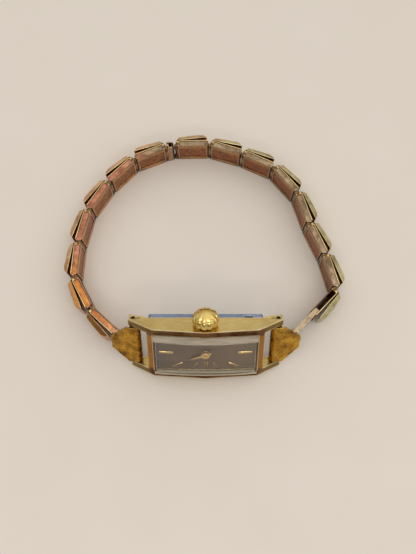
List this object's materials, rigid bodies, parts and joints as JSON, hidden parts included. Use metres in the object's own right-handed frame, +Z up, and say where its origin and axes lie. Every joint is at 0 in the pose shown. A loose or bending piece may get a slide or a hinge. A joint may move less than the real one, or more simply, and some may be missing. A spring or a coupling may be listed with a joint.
{
  "type": "wrist watch",
  "caption": "Slim curved baguette wrist watch with a fluted crown, bark-finish end pieces and a sprung expansion bracelet, standing as a closed loop.",
  "frame": {"origin": "middle of the bounding box's bottom face, on the surface that the watch stands on", "axes": "+X from 12 o'clock to 6 o'clock along the case, +Y from the case to the far side of the bracelet, +Z up"},
  "size_m": [0.0548, 0.0498, 0.0148],
  "materials": {
    "case_gold": "satin gilt",
    "back_steel": "brushed",
    "crystal": "polished",
    "dial": "sunburst, taupe",
    "gilt": "polished",
    "antique_gold": "bark texture, darkened gilt",
    "cap_gold": "brushed gilt",
    "copper": "worn, brown",
    "steel": "polished",
    "plate_brass": "matt",
    "battery_steel": "polished",
    "coil": "wound copper",
    "board": "matt",
    "rubber": "matt"
  },
  "bodies": {
    "case": {"case_frame": "case_gold", "case_back": "back_steel", "back_gasket": "rubber", "crystal": "crystal", "dial": "dial", "dial_markers": "gilt", "crown_tube": "case_gold", "movement_plate": "plate_brass", "battery": "battery_steel", "battery_clip": "steel", "motor_stator": "coil", "circuit_board": "board", "train_bridge": "plate_brass", "spring_bars": "steel"},
    "clutch": {"clutch_pinion": "steel"},
    "crown_and_stem": {"crown": "gilt", "stem": "steel"},
    "lever": {"setting_lever": "steel"},
    "minute_train": {"centre_wheel": "gilt", "minute_hand": "gilt"},
    "hour_train": {"hour_wheel": "gilt", "hour_hand": "gilt"},
    "motion_wheel": {"minute_wheel": "gilt"},
    "third": {"third_wheel": "gilt"},
    "motor_rotor": {"rotor": "steel"},
    "end_left": {"end_piece_left": "antique_gold"},
    "swivel_left": {"swivel_left": "steel"},
    "slider_left_1": {"slider_left_1": "copper"},
    "sleeve_left_1": {"sleeve_left_1": "cap_gold"},
    "slider_left_2": {"slider_left_2": "copper"},
    "sleeve_left_2": {"sleeve_left_2": "cap_gold"},
    "slider_left_3": {"slider_left_3": "copper"},
    "sleeve_left_3": {"sleeve_left_3": "cap_gold"},
    "slider_left_4": {"slider_left_4": "copper"},
    "sleeve_left_4": {"sleeve_left_4": "cap_gold"},
    "slider_left_5": {"slider_left_5": "copper"},
    "sleeve_left_5": {"sleeve_left_5": "cap_gold"},
    "slider_left_6": {"slider_left_6": "copper"},
    "sleeve_left_6": {"sleeve_left_6": "cap_gold"},
    "slider_left_7": {"slider_left_7": "copper"},
    "sleeve_left_7": {"sleeve_left_7": "cap_gold"},
    "end_right": {"end_piece_right": "antique_gold"},
    "swivel_right": {"swivel_right": "steel"},
    "slider_right_1": {"slider_right_1": "copper"},
    "sleeve_right_1": {"sleeve_right_1": "cap_gold"},
    "slider_right_2": {"slider_right_2": "copper"},
    "sleeve_right_2": {"sleeve_right_2": "cap_gold"},
    "slider_right_3": {"slider_right_3": "copper"},
    "sleeve_right_3": {"sleeve_right_3": "cap_gold"},
    "slider_right_4": {"slider_right_4": "copper"},
    "sleeve_right_4": {"sleeve_right_4": "cap_gold"},
    "slider_right_5": {"slider_right_5": "copper"},
    "sleeve_right_5": {"sleeve_right_5": "cap_gold"},
    "slider_right_6": {"slider_right_6": "copper"},
    "sleeve_right_6": {"sleeve_right_6": "cap_gold"},
    "slider_right_7": {"slider_right_7": "copper"},
    "sleeve_right_7": {"sleeve_right_7": "cap_gold"},
    "slider_right_8": {"slider_right_8": "copper"},
    "sleeve_right_8": {"sleeve_right_8": "cap_gold"},
    "centre": {"centre_link": "copper"}
  },
  "joints": [
    {"name": "crown_turn", "type": "hinge", "parent": "case", "child": "clutch", "pos_m": [0.00041, -0.01594, 0.01133], "axis": [0, 0.6018, 0.7986], "continuous": true},
    {"name": "crown_pull", "type": "slide", "parent": "clutch", "child": "crown_and_stem", "axis": [0, 0.6018, 0.7986], "range_m": [0, 0.0008]},
    {"name": "lever_swing", "type": "hinge", "parent": "case", "child": "lever", "pos_m": [0.00196, -0.01651, 0.00925], "axis": [0, 0.7986, -0.6018], "range_deg": [0, 28.96]},
    {"name": "hands_turn", "type": "hinge", "parent": "case", "child": "minute_train", "pos_m": [0.00041, -0.01892, 0.00606], "axis": [0, 0.7986, -0.6018], "continuous": true},
    {"name": "hour_turn", "type": "hinge", "parent": "case", "child": "hour_train", "pos_m": [0.00041, -0.01988, 0.00678], "axis": [0, 0.7986, -0.6018], "continuous": true},
    {"name": "motion_turn", "type": "hinge", "parent": "case", "child": "motion_wheel", "pos_m": [0.00197, -0.01917, 0.00738], "axis": [0, 0.7986, -0.6018], "continuous": true},
    {"name": "third_turn", "type": "hinge", "parent": "case", "child": "third", "pos_m": [-0.00244, -0.01868, 0.00588], "axis": [0, 0.7986, -0.6018], "continuous": true},
    {"name": "rotor_turn", "type": "hinge", "parent": "case", "child": "motor_rotor", "pos_m": [-0.00451, -0.01892, 0.00606], "axis": [0, 0.7986, -0.6018], "continuous": true},
    {"name": "lug_left_swing", "type": "hinge", "parent": "case", "child": "end_left", "pos_m": [-0.01299, -0.01804, 0.00539], "axis": [0, 0.6018, 0.7986], "range_deg": [0, 6]},
    {"name": "case_tilt_left", "type": "hinge", "parent": "end_left", "child": "swivel_left", "pos_m": [-0.01639, -0.01748, 0.00497], "axis": [1, 0, 0], "range_deg": [-37, 5]},
    {"name": "hinge_left_1", "type": "hinge", "parent": "swivel_left", "child": "slider_left_1", "pos_m": [-0.01639, -0.01618, 0.003], "axis": [0, 0, 1], "range_deg": [-4.63, 0]},
    {"name": "slide_left_1", "type": "slide", "parent": "slider_left_1", "child": "sleeve_left_1", "axis": [-0.7459, 0.666, 0], "range_m": [0, 0.002], "stiffness_N_per_m": 60, "springref_m": -0.002},
    {"name": "hinge_left_2", "type": "hinge", "parent": "sleeve_left_1", "child": "slider_left_2", "pos_m": [-0.02158, -0.01155, 0.003], "axis": [0, 0, 1], "range_deg": [0, 10.68]},
    {"name": "slide_left_2", "type": "slide", "parent": "slider_left_2", "child": "sleeve_left_2", "axis": [-0.4731, 0.881, 0], "range_m": [0, 0.00201]},
    {"name": "hinge_left_3", "type": "hinge", "parent": "sleeve_left_2", "child": "slider_left_3", "pos_m": [-0.02486, -0.00543, 0.003], "axis": [0, 0, 1], "range_deg": [0, 6.01]},
    {"name": "slide_left_3", "type": "slide", "parent": "slider_left_3", "child": "sleeve_left_3", "axis": [0.0656, 0.9978, 0], "range_m": [0, 0.00201]},
    {"name": "hinge_left_4", "type": "hinge", "parent": "sleeve_left_3", "child": "slider_left_4", "pos_m": [-0.02441, 0.00151, 0.003], "axis": [0, 0, 1], "range_deg": [-7.71, 0]},
    {"name": "slide_left_4", "type": "slide", "parent": "slider_left_4", "child": "sleeve_left_4", "axis": [0.2379, 0.9713, 0], "range_m": [0, 0.00201]},
    {"name": "hinge_left_5", "type": "hinge", "parent": "sleeve_left_4", "child": "slider_left_5", "pos_m": [-0.02276, 0.00826, 0.003], "axis": [0, 0, 1], "range_deg": [-3.01, 0]},
    {"name": "slide_left_5", "type": "slide", "parent": "slider_left_5", "child": "sleeve_left_5", "axis": [0.5412, 0.8409, 0], "range_m": [0, 0.00201]},
    {"name": "hinge_left_6", "type": "hinge", "parent": "sleeve_left_5", "child": "slider_left_6", "pos_m": [-0.01899, 0.0141, 0.003], "axis": [0, 0, 1], "range_deg": [-6.31, 0]},
    {"name": "slide_left_6", "type": "slide", "parent": "slider_left_6", "child": "sleeve_left_6", "axis": [0.7042, 0.71, 0], "range_m": [0, 0.00201]},
    {"name": "hinge_left_7", "type": "hinge", "parent": "sleeve_left_6", "child": "slider_left_7", "pos_m": [-0.0141, 0.01904, 0.003], "axis": [0, 0, 1], "range_deg": [0, 1.21]},
    {"name": "slide_left_7", "type": "slide", "parent": "slider_left_7", "child": "sleeve_left_7", "axis": [0.9256, 0.3785, 0], "range_m": [0, 0.00201]},
    {"name": "lug_right_swing", "type": "hinge", "parent": "case", "child": "end_right", "pos_m": [0.01381, -0.01804, 0.00539], "axis": [0, 0.6018, 0.7986], "range_deg": [-6, 0]},
    {"name": "case_tilt_right", "type": "hinge", "parent": "end_right", "child": "swivel_right", "pos_m": [0.01721, -0.01748, 0.00497], "axis": [1, 0, 0], "range_deg": [-37, 5]},
    {"name": "hinge_right_1", "type": "hinge", "parent": "swivel_right", "child": "slider_right_1", "pos_m": [0.01721, -0.01618, 0.003], "axis": [0, 0, 1], "range_deg": [0, 4.63]},
    {"name": "slide_right_1", "type": "slide", "parent": "slider_right_1", "child": "sleeve_right_1", "axis": [0.6966, 0.7174, 0], "range_m": [-0.0046, 0]},
    {"name": "hinge_right_2", "type": "hinge", "parent": "sleeve_right_1", "child": "slider_right_2", "pos_m": [0.02539, -0.00775, 0.003], "axis": [0, 0, 1], "range_deg": [-17.91, 0]},
    {"name": "slide_right_2", "type": "slide", "parent": "slider_right_2", "child": "sleeve_right_2", "axis": [-0.273, 0.962, 0], "range_m": [0, 0.00201]},
    {"name": "hinge_right_3", "type": "hinge", "parent": "sleeve_right_2", "child": "slider_right_3", "pos_m": [0.0235, -0.00106, 0.003], "axis": [0, 0, 1], "range_deg": [-8.54, 0]},
    {"name": "slide_right_3", "type": "slide", "parent": "slider_right_3", "child": "sleeve_right_3", "axis": [-0.4043, 0.9146, 0], "range_m": [0, 0.00201]},
    {"name": "hinge_right_4", "type": "hinge", "parent": "sleeve_right_3", "child": "slider_right_4", "pos_m": [0.02069, 0.00529, 0.003], "axis": [0, 0, 1], "range_deg": [0, 16.11]},
    {"name": "slide_right_4", "type": "slide", "parent": "slider_right_4", "child": "sleeve_right_4", "axis": [-0.3064, 0.9519, 0], "range_m": [0, 0.00201]},
    {"name": "hinge_right_5", "type": "hinge", "parent": "sleeve_right_4", "child": "slider_right_5", "pos_m": [0.01856, 0.01191, 0.003], "axis": [0, 0, 1], "range_deg": [0, 1.21]},
    {"name": "slide_right_5", "type": "slide", "parent": "slider_right_5", "child": "sleeve_right_5", "axis": [-0.6407, 0.7678, 0], "range_m": [0, 0.00201]},
    {"name": "hinge_right_6", "type": "hinge", "parent": "sleeve_right_5", "child": "slider_right_6", "pos_m": [0.0141, 0.01725, 0.003], "axis": [0, 0, 1], "range_deg": [-0.41, 0]},
    {"name": "slide_right_6", "type": "slide", "parent": "slider_right_6", "child": "sleeve_right_6", "axis": [-0.9052, 0.4251, 0], "range_m": [0, 0.00201]},
    {"name": "hinge_right_7", "type": "hinge", "parent": "sleeve_right_6", "child": "slider_right_7", "pos_m": [0.00781, 0.0202, 0.003], "axis": [0, 0, 1], "range_deg": [0, 4.11]},
    {"name": "slide_right_7", "type": "slide", "parent": "slider_right_7", "child": "sleeve_right_7", "axis": [-0.9555, 0.295, 0], "range_m": [0, 0.00201]},
    {"name": "hinge_right_8", "type": "hinge", "parent": "sleeve_right_7", "child": "slider_right_8", "pos_m": [0.00117, 0.02225, 0.003], "axis": [0, 0, 1], "range_deg": [-0.11, 0]},
    {"name": "slide_right_8", "type": "slide", "parent": "slider_right_8", "child": "sleeve_right_8", "axis": [-0.9999, -0.0147, 0], "range_m": [0, 0.00201]},
    {"name": "hinge_centre", "type": "hinge", "parent": "sleeve_left_7", "child": "centre", "pos_m": [-0.00767, 0.02167, 0.003], "axis": [0, 0, 1], "range_deg": [-1.91, 0]}
  ],
  "couplings": [
    {"joint": "lever_swing", "follows": "crown_pull", "rad_per_m": 631.7},
    {"joint": "hour_turn", "follows": "hands_turn", "ratio": 0.083333},
    {"joint": "motion_turn", "follows": "hands_turn", "ratio": -0.33333},
    {"joint": "third_turn", "follows": "hands_turn", "ratio": -12},
    {"joint": "rotor_turn", "follows": "hands_turn", "ratio": 90},
    {"joint": "hinge_left_1", "follows": "lug_left_swing", "ratio": -0.77},
    {"joint": "hinge_left_2", "follows": "slide_left_1", "rad_per_m": 93.082},
    {"joint": "slide_left_2", "follows": "slide_left_1", "ratio": 1},
    {"joint": "hinge_left_3", "follows": "slide_right_1", "rad_per_m": -22.765},
    {"joint": "slide_left_3", "follows": "slide_left_1", "ratio": 1},
    {"joint": "hinge_left_4", "follows": "slide_right_1", "rad_per_m": 29.215},
    {"joint": "slide_left_4", "follows": "slide_left_1", "ratio": 1},
    {"joint": "hinge_left_5", "follows": "slide_right_1", "rad_per_m": 11.383},
    {"joint": "slide_left_5", "follows": "slide_left_1", "ratio": 1},
    {"joint": "hinge_left_6", "follows": "slide_right_1", "rad_per_m": 23.903},
    {"joint": "slide_left_6", "follows": "slide_left_1", "ratio": 1},
    {"joint": "hinge_left_7", "follows": "slide_right_1", "rad_per_m": -4.553},
    {"joint": "slide_left_7", "follows": "slide_left_1", "ratio": 1},
    {"joint": "hinge_right_1", "follows": "lug_left_swing", "ratio": 0.77},
    {"joint": "hinge_right_2", "follows": "slide_right_1", "rad_per_m": 67.916},
    {"joint": "slide_right_2", "follows": "slide_left_1", "ratio": 1},
    {"joint": "hinge_right_3", "follows": "slide_left_1", "rad_per_m": -74.414},
    {"joint": "slide_right_3", "follows": "slide_left_1", "ratio": 1},
    {"joint": "hinge_right_4", "follows": "slide_right_1", "rad_per_m": -61.087},
    {"joint": "slide_right_4", "follows": "slide_left_1", "ratio": 1},
    {"joint": "hinge_right_5", "follows": "slide_right_1", "rad_per_m": -4.553},
    {"joint": "slide_right_5", "follows": "slide_left_1", "ratio": 1},
    {"joint": "hinge_right_6", "follows": "slide_right_1", "rad_per_m": 1.5177},
    {"joint": "slide_right_6", "follows": "slide_left_1", "ratio": 1},
    {"joint": "hinge_right_7", "follows": "slide_right_1", "rad_per_m": -15.556},
    {"joint": "slide_right_7", "follows": "slide_left_1", "ratio": 1},
    {"joint": "hinge_right_8", "follows": "slide_right_1", "rad_per_m": 0.37942},
    {"joint": "slide_right_8", "follows": "slide_left_1", "ratio": 1},
    {"joint": "hinge_centre", "follows": "slide_right_1", "rad_per_m": 7.209},
    {"joint": "lug_right_swing", "follows": "lug_left_swing", "ratio": -1},
    {"joint": "case_tilt_right", "follows": "case_tilt_left", "ratio": 1}
  ]
}
